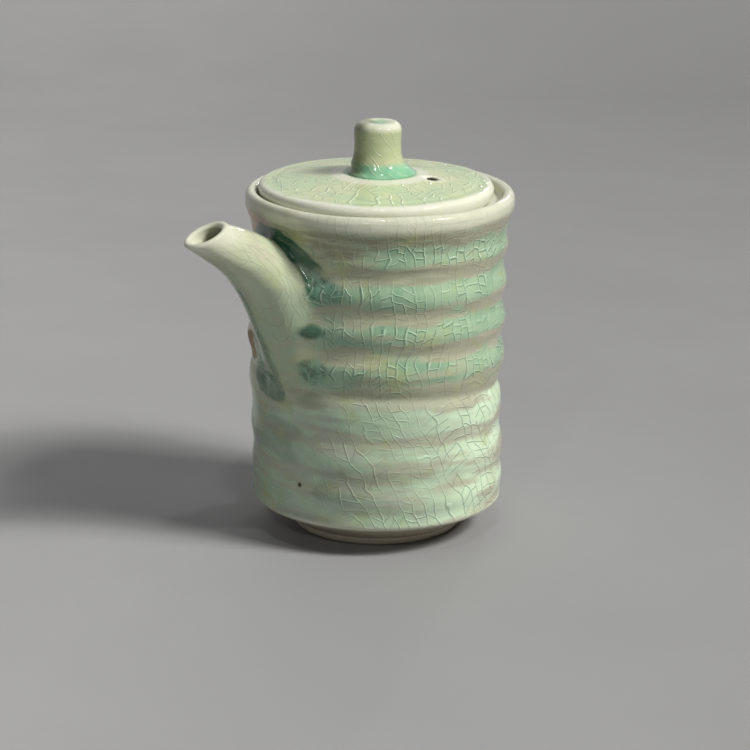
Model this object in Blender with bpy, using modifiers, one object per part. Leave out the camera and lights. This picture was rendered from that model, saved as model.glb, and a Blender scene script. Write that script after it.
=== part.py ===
"""Lidded stoneware pourer: a thrown pot with a luted spout and a turned foot, and a lift-off lid.

Metres, +Z up. The origin is on the table under the middle of the bounding box and the spout
points along -X. Dimensions and outlines are written in millimetres and scaled by MM.
"""
import math

import bmesh
import bpy
import numpy as np
from mathutils import Matrix, Vector

MM = 0.001
GAP = 0.3                       # clearance left between pieces that touch

# Driving dimensions, in millimetres
RIM_RADIUS = 43.2               # widest point of the rounded lip
RIM_HEIGHT = 111.9              # crest of the lip
SPOUT_REACH = 75.4              # pot axis to the lowest point of the spout's mouth
AXIS_X = (SPOUT_REACH - RIM_RADIUS) / 2
WALL = 4.0
FLOOR_HEIGHT = 10.0             # top of the inside floor
LEDGE_HEIGHT = 108.7            # gallery that carries the lid
LEDGE_OUTER = 39.3
LEDGE_INNER = 34.4
FOOT_OUTER = 27.6
FOOT_INNER = 21.6
FOOT_TOP = 2.5
RECESS_HEIGHT = 5.0             # underside of the floor, inside the foot
POUR_HOLE_RADIUS = 5.5
POUR_HOLE_HEIGHT = 71.0
LID_RADIUS = 37.7
LID_SHIFT = (-1.0, 0.8)         # the loose lid lies a little off the pot's axis
KNOB_SHIFT = (0.4, -0.3)        # the knob is luted a little off the lid's centre
LID_UNDERSIDE = LEDGE_HEIGHT + GAP
FLANGE_OUTER = 32.4
FLANGE_WALL = 2.8
FLANGE_BOTTOM = 99.0
LID_SEAT_TOP = 117.0            # flat of the lid that carries the knob
KNOB_RADIUS = 7.6
KNOB_TOP = 133.7
VENT_RADIUS = 1.6
VENT_OFFSET = (11.1, -14.4)     # from the lid's centre

# Smooth outside of the pot without its throwing rings: (height, radius)
BODY_LINE = (
    (13.2, 40.6), (20.0, 40.75), (28.0, 40.65), (36.0, 40.25), (44.0, 40.0), (52.0, 40.25),
    (60.0, 40.5), (72.0, 40.6), (84.0, 40.7), (94.0, 40.85), (98.5, 40.85), (102.0, 41.5),
    (105.0, 42.5), (107.2, RIM_RADIUS),
)

# The throwing rings are one helix. These are its crest heights at RING_START.
RING_CRESTS = (3.7, 16.0, 28.3, 41.0, 58.1, 70.2, 82.5, 95.0, 107.4)
RING_START = math.radians(-38)
RING_DEPTH_UPPER = 0.45
RING_DEPTH_LOWER = 0.22
CREASE_TURN = 3.45              # a deeper crease between two rings
CREASE_DEPTH = 0.75
CREASE_WIDTH = 0.11             # in turns

# Spout centreline and outside radius: (reach from the pot's axis, height, radius)
SPOUT_LINE = (
    (33.4, 54.0, 5.0), (33.8, 58.5, 7.6), (34.8, 63.0, 8.8), (36.9, 68.5, 9.4),
    (40.2, 77.7, 9.7), (44.5, 86.9, 9.5), (50.8, 94.9, 8.8), (56.8, 99.2, 7.6),
    (62.1, 102.2, 6.7), (68.0, 105.8, 6.2), (75.0, 110.4, 6.1),
)
SPOUT_SPREAD = ((60.0, 1.34), (80.0, 1.33), (100.0, 1.08), (106.0, 1.0))   # (height, width / depth)
SPOUT_WALL_ROOT = 2.8
SPOUT_WALL_TIP = 1.8
MOUTH_POINT = (68.4, 106.2)     # reach and height of the middle of the mouth's cut
MOUTH_SLOPE = math.radians(22.4)

POT_SEGMENTS = 48
KNOB_SEGMENTS = 32
SPOUT_BEVEL = 8                 # gives 20 sides
SPOUT_STEPS = 22

GLAZE_COLOUR = (0.48, 0.62, 0.42, 1.0)
KNOB_COLOUR = (0.42, 0.64, 0.47, 1.0)
SPOUT_COLOUR = (0.58, 0.66, 0.47, 1.0)
CLAY_COLOUR = (0.44, 0.38, 0.29, 1.0)


def clear_scene():
    for old in list(bpy.data.objects):
        bpy.data.objects.remove(old, do_unlink=True)


def new_collection(name):
    group = bpy.data.collections.new(name)
    bpy.context.scene.collection.children.link(group)
    return group


def material(name, colour, roughness):
    made = bpy.data.materials.new(name)
    made.use_nodes = True
    shader = made.node_tree.nodes["Principled BSDF"]
    shader.inputs["Base Color"].default_value = colour
    shader.inputs["Roughness"].default_value = roughness
    shader.inputs["Metallic"].default_value = 0.0
    made.diffuse_color = colour
    return made


def smooth_line(points, count):
    """Sample a Catmull-Rom curve through the points, which are rows of any width."""
    rows = np.array(points, dtype=float)
    padded = np.vstack((2 * rows[0] - rows[1], rows, 2 * rows[-1] - rows[-2]))
    samples = []
    for t in np.linspace(0.0, len(rows) - 1.0, count):
        i = min(int(t), len(rows) - 2)
        f = t - i
        p0, p1, p2, p3 = padded[i:i + 4]
        samples.append(0.5 * (2 * p1 + (p2 - p0) * f + (2 * p0 - 5 * p1 + 4 * p2 - p3) * f * f
                              + (3 * p1 - p0 - 3 * p2 + p3) * f ** 3))
    return [tuple(row) for row in samples]


def arc(centre, radius, start, end, count):
    """Points of an arc in the (radius, height) plane, angles in degrees."""
    return [
        (centre[0] + radius * math.cos(a), centre[1] + radius * math.sin(a))
        for a in np.radians(np.linspace(start, end, count))
    ]


def evaluated_copy(source, name, group):
    """Replace an object by a mesh object holding its evaluated shape."""
    graph = bpy.context.evaluated_depsgraph_get()
    mesh = bpy.data.meshes.new_from_object(source.evaluated_get(graph))
    mesh.name = name
    copy = bpy.data.objects.new(name, mesh)
    copy.matrix_world = source.matrix_world.copy()
    bpy.data.objects.remove(source, do_unlink=True)
    copy.name = name
    group.objects.link(copy)
    return copy


def turned(name, profile, group, segments=POT_SEGMENTS, closed=False):
    """Turn a profile, given down its outer side as (radius, height), about the object's Z."""
    mesh = bpy.data.meshes.new(name)
    edges = [(i, i + 1) for i in range(len(profile) - 1)]
    if closed:
        edges.append((len(profile) - 1, 0))
    mesh.from_pydata([(r * MM, 0.0, z * MM) for r, z in profile], edges, [])
    obj = bpy.data.objects.new(name, mesh)
    group.objects.link(obj)
    screw = obj.modifiers.new("Turn", "SCREW")
    screw.steps = segments
    screw.render_steps = segments
    screw.use_merge_vertices = True
    screw.merge_threshold = 0.00001
    return evaluated_copy(obj, name, group)


def cut(target, cutter, group):
    """Subtract a cutter, which is kept as a wire guide, and keep the result as a plain mesh."""
    cutter.hide_render = True
    cutter.display_type = "WIRE"
    boolean = target.modifiers.new("Cut", "BOOLEAN")
    boolean.operation = "DIFFERENCE"
    boolean.solver = "EXACT"
    boolean.object = cutter
    return evaluated_copy(target, target.name, group)


def finish(obj, look, parent, angle=40):
    """Shade, colour and parent a finished piece without moving it."""
    place = obj.matrix_world.copy()
    obj.data.materials.clear()
    obj.data.materials.append(look)
    obj.data.shade_smooth()
    obj.data.set_sharp_from_angle(angle=math.radians(angle))
    obj.parent = parent
    obj.matrix_parent_inverse = parent.matrix_world.inverted()
    obj.matrix_world = place


def empty(name, location, group):
    marker = bpy.data.objects.new(name, None)
    marker.location = location
    group.objects.link(marker)
    bpy.context.view_layer.update()
    return marker


def ring_offset(angle, height):
    """Radial height of the throwing rings at a point of the pot's outside."""
    turn = np.interp(height, RING_CRESTS, range(len(RING_CRESTS)))
    turn += (angle - RING_START) / (2 * math.pi)
    upper = np.interp(height, (44.0, 56.0), (0.0, 1.0))
    depth = RING_DEPTH_LOWER + (RING_DEPTH_UPPER - RING_DEPTH_LOWER) * upper
    fade = np.interp(height, (10.0, 15.0, 95.0, 101.0), (0.0, 1.0, 1.0, 0.0))
    from_crease = (turn - CREASE_TURN + 0.5) % 1.0 - 0.5
    near = np.interp(height, (42.0, 47.0, 53.0, 57.0), (0.0, 1.0, 1.0, 0.0))
    crease = CREASE_DEPTH * near * math.exp(-(from_crease / CREASE_WIDTH) ** 2)
    return depth * fade * math.cos(2 * math.pi * turn) - crease


def throw_rings(obj):
    """Push the outside of a turned pot in and out along the helix of rings."""
    for vertex in obj.data.vertices:
        x, y, z = vertex.co / MM
        radius = math.hypot(x, y)
        if radius > FOOT_OUTER and z > BODY_LINE[0][0] - 3.0 and is_outside(radius, z):
            scale = 1.0 + ring_offset(math.atan2(y, x), z) / radius
            vertex.co.x *= scale
            vertex.co.y *= scale


def is_outside(radius, height):
    heights, radii = zip(*BODY_LINE)
    return radius > np.interp(height, heights, radii) - WALL / 2


def body_outside(grow=0.0):
    """The pot's outside, from the crest of the lip down to the edge of the foot."""
    lip = arc((RIM_RADIUS - 2.0, RIM_HEIGHT - 2.6), 2.0, 90, 0, 5)
    lip = [(r, z + 0.6 * (z - RIM_HEIGHT + 2.6) / 2.0) for r, z in lip]
    line = [(r, z) for z, r in smooth_line(BODY_LINE, 42)]
    heel = [(40.1, 11.2), (39.0, 9.3), (37.6, 8.15), (35.5, 7.3), (FOOT_OUTER + 0.4, FOOT_TOP + GAP)]
    return [(r + grow, z) for r, z in lip + line[::-1] + heel]


def make_pot_body(group, guides):
    """The thrown pot: rounded lip, gallery for the lid, plain inside and a recess in the foot."""
    lip_inside = arc((RIM_RADIUS - 2.0, RIM_HEIGHT - 2.0), 2.0, 170, 110, 3)
    inside = [
        (0.0, FLOOR_HEIGHT), (16.0, FLOOR_HEIGHT), (29.0, FLOOR_HEIGHT + 0.6), (33.8, FLOOR_HEIGHT + 3.0),
        (35.6, FLOOR_HEIGHT + 8.0), (36.1, 40.0), (36.5, 70.0), (36.7, 96.0), (35.2, 102.5),
        (LEDGE_INNER, 105.0), (LEDGE_INNER, LEDGE_HEIGHT - 0.5), (LEDGE_INNER + 0.5, LEDGE_HEIGHT),
        (LEDGE_OUTER - 0.6, LEDGE_HEIGHT), (LEDGE_OUTER, LEDGE_HEIGHT + 0.6),
    ]
    underside = [
        (FOOT_INNER, FOOT_TOP + GAP), (FOOT_INNER, RECESS_HEIGHT - 0.4),
        (FOOT_INNER - 0.5, RECESS_HEIGHT), (0.0, RECESS_HEIGHT),
    ]
    body = turned("pot_body", inside + lip_inside + body_outside() + underside, group)
    throw_rings(body)
    bpy.ops.mesh.primitive_cylinder_add(
        vertices=24, radius=POUR_HOLE_RADIUS * MM, depth=16 * MM,
        location=(-(LEDGE_OUTER - 1.0) * MM, 0.0, POUR_HOLE_HEIGHT * MM),
        rotation=(0.0, math.pi / 2, 0.0),
    )
    drill = move_to(bpy.context.object, guides, "pour_hole_cutter")
    return cut(body, drill, group)


def move_to(obj, group, name):
    """File an object that an operator made under a collection and name it."""
    for old in list(obj.users_collection):
        old.objects.unlink(obj)
    group.objects.link(obj)
    obj.name = name
    bpy.context.view_layer.update()
    return obj


def tube(name, stations, group):
    """A tapered tube along the spout's line, wider than deep at its root, as a closed mesh."""
    curve = bpy.data.curves.new(name, "CURVE")
    curve.dimensions = "3D"
    curve.bevel_depth = MM
    curve.bevel_resolution = SPOUT_BEVEL
    curve.use_fill_caps = True
    spline = curve.splines.new("POLY")
    spline.points.add(len(stations) - 1)
    for point, (reach, height, radius) in zip(spline.points, stations):
        point.co = (-reach * MM, 0.0, height * MM, 1.0)
        point.radius = radius
    obj = bpy.data.objects.new(name, curve)
    group.objects.link(obj)
    made = evaluated_copy(obj, name, group)
    shape = bmesh.new()
    shape.from_mesh(made.data)
    bmesh.ops.remove_doubles(shape, verts=shape.verts, dist=0.00001)
    bmesh.ops.recalc_face_normals(shape, faces=shape.faces)
    heights, spreads = zip(*SPOUT_SPREAD)
    for vertex in shape.verts:
        vertex.co.y *= np.interp(vertex.co.z / MM, heights, spreads)
    shape.to_mesh(made.data)
    shape.free()
    return made


def make_spout(group, guides):
    """The luted spout: a curved tapered tube, hollow, fitted to the pot and cut across its mouth."""
    stations = smooth_line(SPOUT_LINE, SPOUT_STEPS)
    walls = np.linspace(SPOUT_WALL_ROOT, SPOUT_WALL_TIP, len(stations))
    bore = [(reach, height, radius - wall) for (reach, height, radius), wall in zip(stations, walls)]
    last, end = np.array(bore[-2]), np.array(bore[-1])
    bore.append(tuple(end + 1.5 * (end - last)))
    spout = tube("spout", stations, group)

    hollow = tube("spout_bore_cutter", bore[1:], guides)
    pot = turned("pot_envelope_cutter", [(0.0, RIM_HEIGHT)] + body_outside(GAP) + [(0.0, FOOT_TOP)], guides)
    throw_rings(pot)
    bpy.ops.mesh.primitive_cube_add(size=60 * MM)
    above = move_to(bpy.context.object, guides, "mouth_cutter")
    up = Vector((-math.sin(MOUTH_SLOPE), 0.0, math.cos(MOUTH_SLOPE)))
    mouth = Vector((-MOUTH_POINT[0], 0.0, MOUTH_POINT[1])) * MM
    turn = Matrix.Rotation(-MOUTH_SLOPE, 4, "Y")
    above.matrix_world = Matrix.Translation(mouth + up * 30 * MM) @ turn
    bpy.context.view_layer.update()
    for cutter in (hollow, pot, above):
        spout = cut(spout, cutter, group)
    return spout


def make_foot_ring(group):
    """The turned foot of bare clay."""
    profile = [
        (FOOT_INNER + 0.3, FOOT_TOP), (FOOT_OUTER, FOOT_TOP), (FOOT_OUTER - 0.1, 0.6),
        (FOOT_OUTER - 0.6, 0.0), (FOOT_INNER + 0.9, 0.0), (FOOT_INNER + 0.3, 0.6),
    ]
    return turned("foot_ring", profile, group, closed=True)


def make_lid_disc(group, guides):
    """The domed lid with a thick rounded edge and one vent hole."""
    edge = arc((LID_RADIUS - 1.6, LID_UNDERSIDE + 3.2), 1.6, 80, 0, 5)
    profile = [
        (0.0, LID_SEAT_TOP), (11.8, LID_SEAT_TOP), (14.5, 116.4), (20.0, 115.7), (30.0, 114.7),
        *edge, (LID_RADIUS, LID_UNDERSIDE + 0.7), (LID_RADIUS - 0.7, LID_UNDERSIDE),
        (29.0, LID_UNDERSIDE), (24.0, LID_UNDERSIDE + 1.2), (0.0, LID_UNDERSIDE + 2.4),
    ]
    disc = turned("lid_disc", profile, group)
    bpy.ops.mesh.primitive_cylinder_add(
        vertices=16, radius=VENT_RADIUS * MM, depth=20 * MM,
        location=(VENT_OFFSET[0] * MM, VENT_OFFSET[1] * MM, 113 * MM),
    )
    drill = move_to(bpy.context.object, guides, "vent_cutter")
    return cut(disc, drill, group)


def make_lid_flange(group):
    """The ring under the lid that keeps it in the gallery."""
    inner = FLANGE_OUTER - FLANGE_WALL
    profile = [
        (inner, LID_UNDERSIDE - GAP), (FLANGE_OUTER + 0.3, LID_UNDERSIDE - GAP),
        (FLANGE_OUTER, LID_UNDERSIDE - 2.0), (FLANGE_OUTER - 0.4, FLANGE_BOTTOM + 0.8),
        (FLANGE_OUTER - 1.1, FLANGE_BOTTOM), (inner + 0.6, FLANGE_BOTTOM), (inner, FLANGE_BOTTOM + 0.8),
    ]
    return turned("lid_flange", profile, group, closed=True)


def make_lid_knob(group):
    """The stub knob: a flared foot, a slightly waisted stem and a rounded top."""
    base = LID_SEAT_TOP + GAP
    profile = [
        (0.0, KNOB_TOP), (KNOB_RADIUS - 2.4, KNOB_TOP),
        *arc((KNOB_RADIUS - 1.6, KNOB_TOP - 1.8), 1.7, 75, 0, 4),
        (KNOB_RADIUS, 127.0), (KNOB_RADIUS, 122.5), (KNOB_RADIUS + 0.4, 120.6), (KNOB_RADIUS + 1.4, 118.9),
        (KNOB_RADIUS + 2.9, base + 0.4), (KNOB_RADIUS + 3.2, base), (0.0, base),
    ]
    return turned("lid_knob", profile, group, segments=KNOB_SEGMENTS)


def place(objects, location):
    for obj in objects:
        obj.location = Vector(location)
    bpy.context.view_layer.update()


def build():
    clear_scene()
    parts = new_collection("lidded_pourer")
    guides = new_collection("cutters")

    pot_glaze = material("pot_glaze", GLAZE_COLOUR, 0.18)
    spout_glaze = material("spout_glaze", SPOUT_COLOUR, 0.18)
    lid_glaze = material("lid_glaze", GLAZE_COLOUR, 0.2)
    knob_glaze = material("knob_glaze", KNOB_COLOUR, 0.16)
    foot_clay = material("foot_clay", CLAY_COLOUR, 0.85)
    flange_clay = material("flange_clay", CLAY_COLOUR, 0.8)

    pot = (make_pot_body(parts, guides), make_foot_ring(parts), make_spout(parts, guides))
    lid = (make_lid_disc(parts, guides), make_lid_flange(parts), make_lid_knob(parts))
    lid_centre = Vector((AXIS_X + LID_SHIFT[0], LID_SHIFT[1], 0.0)) * MM
    place(pot, (AXIS_X * MM, 0.0, 0.0))
    place(lid[:2], lid_centre)
    place(lid[2:], lid_centre + Vector((*KNOB_SHIFT, 0.0)) * MM)

    pot_frame = empty("pot_frame", (AXIS_X * MM, 0.0, 0.0), parts)
    lid_frame = empty("lid_lift", lid[0].location.copy(), parts)
    for piece, look in zip(pot, (pot_glaze, foot_clay, spout_glaze)):
        finish(piece, look, pot_frame)
    for piece, look in zip(lid, (lid_glaze, flange_clay, knob_glaze)):
        finish(piece, look, lid_frame)


build()
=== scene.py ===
"""Looks of a lidded stoneware pourer: throwing rings and a luted spout under a crackled celadon glaze.

Each CAD node is stood for by one finer piece of the same size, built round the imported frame.
Dimensions are millimetres from the pot's axis and the table; they become metres as meshes are made.
"""

import math
from collections import namedtuple

import bpy
import numpy as np
from mathutils import Matrix, Vector


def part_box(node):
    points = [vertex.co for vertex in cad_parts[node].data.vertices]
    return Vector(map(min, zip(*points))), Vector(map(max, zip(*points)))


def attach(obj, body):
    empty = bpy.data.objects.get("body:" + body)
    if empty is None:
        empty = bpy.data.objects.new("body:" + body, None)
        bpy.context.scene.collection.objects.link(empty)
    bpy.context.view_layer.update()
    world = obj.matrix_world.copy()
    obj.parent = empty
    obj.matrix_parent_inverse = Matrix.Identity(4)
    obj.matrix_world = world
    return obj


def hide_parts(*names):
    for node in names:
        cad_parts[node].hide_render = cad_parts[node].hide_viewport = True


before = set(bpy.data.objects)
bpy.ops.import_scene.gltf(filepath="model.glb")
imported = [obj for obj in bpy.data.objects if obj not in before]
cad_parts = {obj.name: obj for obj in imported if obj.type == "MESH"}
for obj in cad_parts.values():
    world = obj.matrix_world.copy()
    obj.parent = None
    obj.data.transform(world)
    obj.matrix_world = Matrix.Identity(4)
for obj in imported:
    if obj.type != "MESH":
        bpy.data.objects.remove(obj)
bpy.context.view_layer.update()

MM = 0.001
TILTED = np.array(Matrix.Rotation(0.7, 3, (1, 2, 3)))  # turns noise off the axes
SEAM = math.radians(50)  # texture seam, at the back
SHEET_UNIT = 100.0  # mm to a unit of the texture sheet
ON_AXIS = 1e-6


def centre_of(node):
    low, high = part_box(node)
    return (low + high) / 2 / MM


POT_AXIS = centre_of("foot_ring").x

# The pot's outside, as in the CAD: (height, radius)
BODY_LINE = (
    (9.0, 40.6), (13.2, 40.6), (20.0, 40.75), (28.0, 40.65), (36.0, 40.25), (44.0, 40.0), (52.0, 40.25),
    (60.0, 40.5), (72.0, 40.6), (84.0, 40.7), (94.0, 40.85), (98.5, 40.85), (102.0, 41.5),
    (105.0, 42.5), (107.2, 43.2), (109.3, 43.2),
)
# The rest of the pot, and its foot: (radius, height)
INSIDE_LINE = (
    (0, 10), (16, 10), (29, 10.6), (33.8, 13), (35.6, 18), (36.1, 40), (36.5, 70), (36.7, 96),
    (35.2, 102.5), (34.4, 105), (34.4, 108.0),
)
LEDGE_LINE = ((34.4, 108.0), (34.5, 108.7), (39.0, 108.7), (39.25, 109.4), (39.2, 110.4))
WALL_ENDS = (109.2, 11.6)  # the heights between which the wall's rows run
HEEL_LINE = ((40.55, 11.0), (39.9, 9.7), (38.4, 8.6), (35.5, 7.3), (31.8, 5.0), (28.4, 2.8))
UNDERSIDE_LINE = ((28.0, 2.75), (21.7, 2.75), (21.6, 4.6), (20.8, 5.0), (0, 5.0))
FOOT_LINE = (
    (21.9, 2.9), (28.1, 2.9), (27.7, 1.3), (27.3, 0.45), (26.7, 0.0), (22.6, 0.0), (22.1, 0.5), (21.9, 2.9),
)
WALL_RADIUS = 40.6  # mean radius, for lengths round the wall
POUR_HOLE_RADIUS = 5.5
POUR_HOLE_CENTRE = (-38.3, 0, 71)

# The throwing rings are one helix: the heights of its crests at its start
RING_CRESTS = (3.7, 16.0, 28.3, 41.0, 58.1, 70.2, 82.5, 95.0, 107.4)
RING_START = math.radians(-38)
CREASE_TURN = 3.45  # a deeper crease between two rings
CREASE_DEPTH = 0.75
CREASE_WIDTH = 0.11  # in turns
THROWING = np.array((1.0, 1.0, 5.0))  # stretches noise round the wall, like a potter's finger marks

# Up the spout's middle: (distance from the pot's axis, height, radius)
SPOUT_LINE = (
    (33.4, 54.0, 5.0), (33.8, 58.5, 7.6), (34.8, 63.0, 8.8), (36.9, 68.5, 9.4),
    (40.2, 77.7, 9.7), (44.5, 86.9, 9.5), (50.8, 94.9, 8.8), (56.8, 99.2, 7.6),
    (62.1, 102.2, 6.7), (68.0, 105.8, 6.2), (75.0, 110.4, 6.1),
)
# How much wider than deep the spout is, toward the camera and behind: (height, times)
SPREAD_FRONT = ((60.0, 1.34), (80.0, 1.40), (89.0, 1.40), (96.0, 1.27), (101.0, 1.10), (106.0, 1.0))
SPREAD_BACK = ((58.0, 0.86), (72.0, 0.86), (88.0, 1.16), (100.0, 1.08), (106.0, 1.0))
SPOUT_WALL = (2.8, 1.8)  # at the root and at the tip
SPOUT_SHEET = 60.0  # width of the spout's unrolled glaze
MOUTH_POINT = np.array((-68.4, 0.0, 106.2))
MOUTH_SLOPE = math.radians(22.4)
SPOUT_FILLET = 6.4  # reach of the luted joint's blend
SKIRT = 9.0  # width of the spout's skirt on the wall
BURIED = 0.6  # depth of the skirt's underside in the wall
LIP_RISE = 1.0  # how far the mouth's rounded lip rises above its walls

# The lid and its knob: (radius, height)
LID_TOP = ((0, 117.0), (6, 117.0), (11.8, 116.9), (16, 116.25), (22, 115.55), (29, 114.85), (33.5, 114.45))
LID_UNDER = ((37.7, 110.6), (37.55, 109.5), (36.6, 109.0), (29, 109.0), (24, 110.2), (0, 111.4))
FLANGE_LINE = (
    (29.6, 109.3), (32.7, 109.3), (32.4, 107.0), (32.1, 100.0), (31.4, 99.0), (30.2, 99.0), (29.6, 99.8),
    (29.6, 109.3),
)
KNOB_TOP = ((0, 133.3), (2.6, 133.25), (4.4, 133.55))
KNOB_STEM = (
    (7.62, 130.4), (7.5, 128.0), (7.5, 125.2), (7.75, 123.0), (8.3, 121.2), (9.2, 119.6),
    (10.4, 118.2), (11.6, 117.3),
)
KNOB_FOOT = ((11.9, 116.9), (0, 116.9))
KNOB_ON_LID = (1.0, -0.8)  # where the knob's glaze collar lies, from the lid's centre
VENT = (11.1, -14.4)  # from the lid's centre
VENT_RADIUS = 1.9
LID_NET_RADIUS = 24.0  # where the lid's crackle has its true width
KNOB_NET_RADIUS = 8.0
RING_SHEET_RADIUS = 25.0

# Bands of thick green glaze: (height, half height, strength)
GREEN_BANDS = (
    (98.2, 4.6, 0.85), (86.6, 5.6, 0.95), (73.8, 5.5, 0.95), (61.0, 5.4, 0.85),
    (44.4, 6.8, 0.75), (32.3, 4.8, 0.72), (16.6, 8.0, 0.78),
)
# Uneven ovals on the wall: (degrees, height, half width, half height, seed, raggedness)
DRIP_POOL = (-186.5, 53.2, 9.4, 4.7, 11, 0.08)
TEAL_SPOT = (-156.2, 74.0, 4.4, 2.9, 25, 0.35)
SOFT_SPOT = (-158.3, 60.8, 5.6, 4.6, 26, 0.12)
BARE_SPOT = (-206.0, 61.8, 6.8, 4.7, 27, 0.10)
PEACH_BLUSH = (-204, 102.5, 13.5, 6.5, 28, 0.15)
# Iron specks near the front: (degrees, height, radius)
SPECKS = (
    (-165.0, 22.2, 1.05), (-124.5, 40.2, 0.6), (-204.5, 44.5, 0.9), (-196.5, 45.8, 0.9), (-203.5, 42.0, 0.7),
)

VIEW_AZIMUTH = math.radians(38)  # the way the camera looks, from +Y toward +X
AHEAD = Vector((math.sin(VIEW_AZIMUTH), math.cos(VIEW_AZIMUTH), 0))
ASIDE = Vector((math.cos(VIEW_AZIMUTH), -math.sin(VIEW_AZIMUTH), 0))
UP = Vector((0, 0, 1))


# ---- numbers

def ramp(low, high, x):
    """0 at low and 1 at high, with soft ends; low may be the larger."""
    t = np.clip((x - low) / (high - low), 0.0, 1.0)
    return t * t * (3 - 2 * t)


def bump(x, centre, half):
    """1 at the centre, falling smoothly to 0 at half a width on either side."""
    return ramp(1.0, 0.35, np.abs(x - centre) / half)


def noise(points, size, seed=0):
    """Smooth noise from -1 to 1 whose lumps are about size across."""
    place = np.asarray(points, float) / size
    cell = np.floor(place).astype(np.int64)
    part = place - cell
    part = part * part * (3 - 2 * part)
    total = np.zeros(place.shape[:-1])
    for corner in np.ndindex(2, 2, 2):
        key = (cell + corner) @ np.array((73856093, 19349663, 83492791)) + int(seed * 40503)
        key = ((key ^ (key >> 13)) * 1274126177) & 0x7FFFFFFF
        value = ((key ^ (key >> 16)) & 0xFFFF) / 32767.5 - 1.0
        total += value * np.prod(np.where(corner, part, 1 - part), axis=-1)
    return total


def smooth_line(points, count):
    """Catmull-Rom samples through rows of any width."""
    rows = np.array(points, float)
    padded = np.vstack((2 * rows[0] - rows[1], rows, 2 * rows[-1] - rows[-2]))
    t = np.linspace(0, len(rows) - 1, count)
    i = np.minimum(t.astype(int), len(rows) - 2)
    f = (t - i)[:, None]
    p0, p1, p2, p3 = (padded[i + k] for k in range(4))
    return 0.5 * (2 * p1 + (p2 - p0) * f + (2 * p0 - 5 * p1 + 4 * p2 - p3) * f ** 2
                  + (3 * p1 - p0 - 3 * p2 + p3) * f ** 3)


def even_rows(points, step, rounds=2):
    """Resample a polyline evenly and round its corners a little, keeping both ends."""
    rows = np.array(points, float)
    length = np.append(0, np.cumsum(np.hypot(*np.diff(rows, axis=0).T)))
    t = np.linspace(0, length[-1], max(3, round(length[-1] / step) + 1))
    even = np.stack([np.interp(t, length, rows[:, k]) for k in (0, 1)], -1)
    for _ in range(rounds):
        even[1:-1] = (even[:-2] + 2 * even[1:-1] + even[2:]) / 4
    return even


def arc(centre, radii, start, end, count):
    a = np.radians(np.linspace(start, end, count))
    return np.stack((centre[0] + radii[0] * np.cos(a), centre[1] + radii[1] * np.sin(a)), -1)


def about_axis(theta, r, z):
    """Points (x, y, z) from angles, radii and heights."""
    return np.stack((r * np.cos(theta), r * np.sin(theta), z), -1)


def turned_by(a, b):
    """Signed angle from b to a, in -pi..pi."""
    return (a - b + math.pi) % (2 * math.pi) - math.pi


# ---- the pot's outside

BODY_HEIGHTS, BODY_RADII = smooth_line(BODY_LINE, 200).T


def on_wall(theta, z):
    """Points of the smooth wall, for noise and distances."""
    return about_axis(theta, WALL_RADIUS + 0 * theta, z + 0 * theta)


def wall_arc(theta, degrees):
    """Distance round the wall from an angle."""
    return turned_by(theta, math.radians(degrees)) * WALL_RADIUS


def relief(theta, z):
    """How far the outside stands off its smooth line: rings, the potter's wobble and runs of glaze."""
    turn = np.interp(z, RING_CRESTS, range(len(RING_CRESTS))) + (theta - RING_START) / (2 * math.pi)
    deeper_above = 0.30 + 0.32 * np.interp(z, (44, 56), (0, 1))
    ring_fade = np.interp(z, (10, 15, 95, 101), (0, 1, 1, 0))
    rings = deeper_above * ring_fade * np.cos(2 * math.pi * turn)
    from_crease = (turn - CREASE_TURN + 0.5) % 1.0 - 0.5
    crease_fade = np.interp(z, (42, 47, 53, 57), (0, 1, 1, 0))
    crease = CREASE_DEPTH * crease_fade * np.exp(-(from_crease / CREASE_WIDTH) ** 2)
    wall = on_wall(theta, z)
    wobble = 0.16 * noise(wall, 17, 1) + 0.07 * noise(wall, 6, 2)
    wobble = wobble + 0.10 * noise(wall * THROWING, 9, 3) + 0.05 * noise(wall * THROWING, 4, 4)
    wobble = wobble * np.interp(z, (10, 20, 100, 106), (0, 1, 1, 0.4))
    swell = 1.25 * bump(wall_arc(theta, 144), 0, 34) * bump(z, 54, 34)
    pool = 0.42 * ramp(1.10, 0.90, drip_reach(theta, z))
    heel_roll = 0.34 * np.exp(-((z - 10.2) / 0.9) ** 2)
    return rings - crease + wobble + swell + pool + heel_roll


def blob(theta, z, degrees, height, width, tall, seed, ragged):
    """About 1 on the edge of an uneven oval on the wall, less inside it."""
    reach = np.hypot(wall_arc(theta, degrees) / width, (z - height) / tall)
    wall = on_wall(theta, z) @ TILTED
    return reach + ragged * (noise(wall, 4.4, seed) + 0.6 * noise(wall, 1.9, seed + 0.5))


def drip_reach(theta, z):
    """The pool of glaze that has run off the spout's root."""
    slant = 0.22 * wall_arc(theta, -186)
    return blob(theta, z + slant, *DRIP_POOL)


def body_radius(theta, z):
    return np.interp(z, BODY_HEIGHTS, BODY_RADII) + relief(theta, z)


# ---- the spout's form

SPOUT = smooth_line(SPOUT_LINE, 260)
SPOUT_C = np.stack((-SPOUT[:, 0], 0 * SPOUT[:, 0], SPOUT[:, 1]), -1)
SPOUT_R = SPOUT[:, 2]
SPOUT_T = np.gradient(SPOUT_C, axis=0)
SPOUT_T /= np.linalg.norm(SPOUT_T, axis=1)[:, None]
SPOUT_N = np.stack((-SPOUT_T[:, 2], 0 * SPOUT_R, SPOUT_T[:, 0]), -1)  # away from the pot
MOUTH_UP = np.array((-math.sin(MOUTH_SLOPE), 0.0, math.cos(MOUTH_SLOPE)))


def spread_at(z, side):
    """How much wider than deep the spout is; its back half, where side is over 0, is slimmer."""
    front = np.interp(z, *zip(*SPREAD_FRONT))
    back = np.interp(z, *zip(*SPREAD_BACK))
    return np.where(side > 0, back, front)


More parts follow.
